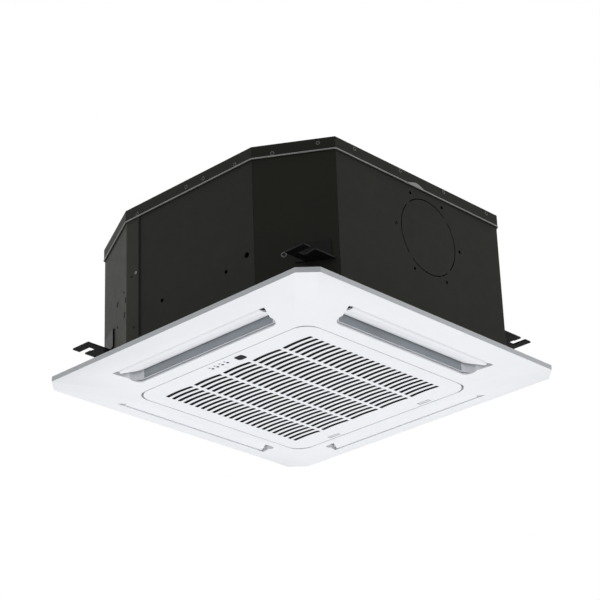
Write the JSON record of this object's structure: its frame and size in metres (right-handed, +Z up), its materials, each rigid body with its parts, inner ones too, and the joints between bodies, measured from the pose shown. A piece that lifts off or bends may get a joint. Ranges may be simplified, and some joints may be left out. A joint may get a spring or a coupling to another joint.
{
  "type": "ceiling cassette air conditioner",
  "caption": "Compact square ceiling cassette air conditioner with a black body, a white panel, air outlets on every side and a hinged intake grille.",
  "frame": {"origin": "centre of the intake grille's lower face, the unit's lowest face", "axes": "+Z up into the ceiling, -Y toward the side with the fresh-air knock-out, -X toward the side with the display"},
  "size_m": [0.647, 0.647, 0.31],
  "materials": {
    "casing_sheet": "satin black painted sheet steel",
    "lug_steel": "black painted steel",
    "white_plastic": "satin white moulded plastic",
    "grey_foam": "grey moulded insulation",
    "black_foam": "black foam",
    "white_foam": "white moulded foam",
    "black_plastic": "black moulded plastic",
    "fin_aluminium": "thin bright fins",
    "plated_steel": "zinc plated steel",
    "copper": "drawn copper tube",
    "nut_brass": "turned brass",
    "board": "green circuit board",
    "smoked_window": "dark smoked window",
    "light_lens": "clear green-grey lens",
    "filter_net": "fine grey plastic net"
  },
  "bodies": {
    "casing": {"lid_plate": "casing_sheet", "side_right": "casing_sheet", "corner_back_right": "casing_sheet", "side_back": "casing_sheet", "corner_cover": "casing_sheet", "side_left": "casing_sheet", "corner_front_left": "casing_sheet", "side_front": "casing_sheet", "corner_front_right": "casing_sheet", "lug_back_right": "lug_steel", "lug_back_left": "lug_steel", "lug_front_right": "lug_steel", "lug_front_left": "lug_steel", "top_liner": "black_foam", "fan_motor": "plated_steel", "bell_mouth": "black_plastic", "heat_exchanger": "fin_aluminium", "coil_plate_back": "plated_steel", "coil_plate_right": "plated_steel", "drain_pan": "white_foam", "drain_plug": "black_plastic", "drain_pump": "black_plastic", "drain_outlet": "black_plastic", "float_switch": "white_plastic", "gas_pipe": "copper", "liquid_pipe": "copper", "gas_flare_nut": "nut_brass", "liquid_flare_nut": "nut_brass", "electrical_box": "plated_steel", "electrical_cover": "plated_steel", "control_board": "board", "terminal_block": "black_plastic", "panel_frame": "white_plastic", "panel_foam": "grey_foam", "panel_gasket": "black_foam", "panel_bolt_1": "plated_steel", "panel_bolt_2": "plated_steel", "panel_bolt_3": "plated_steel", "panel_bolt_4": "plated_steel", "louvre_motor_right": "black_plastic", "louvre_motor_back": "black_plastic", "louvre_motor_left": "black_plastic", "louvre_motor_front": "black_plastic"},
    "fan": {"turbo_fan": "black_plastic", "motor_shaft": "plated_steel", "hub_nut": "plated_steel"},
    "float_body": {"float": "white_foam"},
    "grille": {"intake_grille": "white_plastic", "display_box": "black_plastic", "receiver_window": "smoked_window", "indicator_lens": "light_lens"},
    "latch_front": {"grille_latch_front": "white_plastic"},
    "latch_back": {"grille_latch_back": "white_plastic"},
    "button": {"manual_button": "white_plastic"},
    "filter": {"air_filter": "filter_net"},
    "blade_right": {"louvre_right": "white_plastic"},
    "blade_back": {"louvre_back": "white_plastic"},
    "blade_left": {"louvre_left": "white_plastic"},
    "blade_front": {"louvre_front": "white_plastic"}
  },
  "joints": [
    {"name": "fan_spin", "type": "hinge", "parent": "casing", "child": "fan", "pos_m": [0, 0, 0.23], "axis": [0, 0, 1], "continuous": true},
    {"name": "float_rise", "type": "slide", "parent": "casing", "child": "float_body", "axis": [0, 0, 1], "range_m": [0, 0.012]},
    {"name": "grille_hinge", "type": "hinge", "parent": "casing", "child": "grille", "pos_m": [-0.203, 0, 0.0018], "axis": [0, 1, 0], "range_deg": [0, 90]},
    {"name": "latch_front_slide", "type": "slide", "parent": "grille", "child": "latch_front", "axis": [1, 0, 0], "range_m": [-0.0035, 0.0022]},
    {"name": "latch_back_slide", "type": "slide", "parent": "grille", "child": "latch_back", "axis": [1, 0, 0], "range_m": [-0.0035, 0.0022]},
    {"name": "button_press", "type": "slide", "parent": "grille", "child": "button", "axis": [0, 0, 1], "range_m": [0, 0.0015], "stiffness_N_per_m": 300},
    {"name": "filter_lift", "type": "slide", "parent": "grille", "child": "filter", "axis": [0, 0, 1], "range_m": [0, 0.008]},
    {"name": "louvre_right_tilt", "type": "hinge", "parent": "casing", "child": "blade_right", "pos_m": [0.274, 0, 0.02025], "axis": [0, 1, 0], "range_deg": [-31, 18]},
    {"name": "louvre_back_tilt", "type": "hinge", "parent": "casing", "child": "blade_back", "pos_m": [0, 0.274, 0.02025], "axis": [-1, 0, 0], "range_deg": [-31, 18]},
    {"name": "louvre_left_tilt", "type": "hinge", "parent": "casing", "child": "blade_left", "pos_m": [-0.274, 0, 0.02025], "axis": [0, -1, 0], "range_deg": [-31, 18]},
    {"name": "louvre_front_tilt", "type": "hinge", "parent": "casing", "child": "blade_front", "pos_m": [0, -0.274, 0.02025], "axis": [1, 0, 0], "range_deg": [-31, 18]}
  ],
  "couplings": [
    {"joint": "louvre_back_tilt", "follows": "louvre_right_tilt", "ratio": 1},
    {"joint": "louvre_left_tilt", "follows": "louvre_right_tilt", "ratio": 1},
    {"joint": "louvre_front_tilt", "follows": "louvre_right_tilt", "ratio": 1}
  ]
}
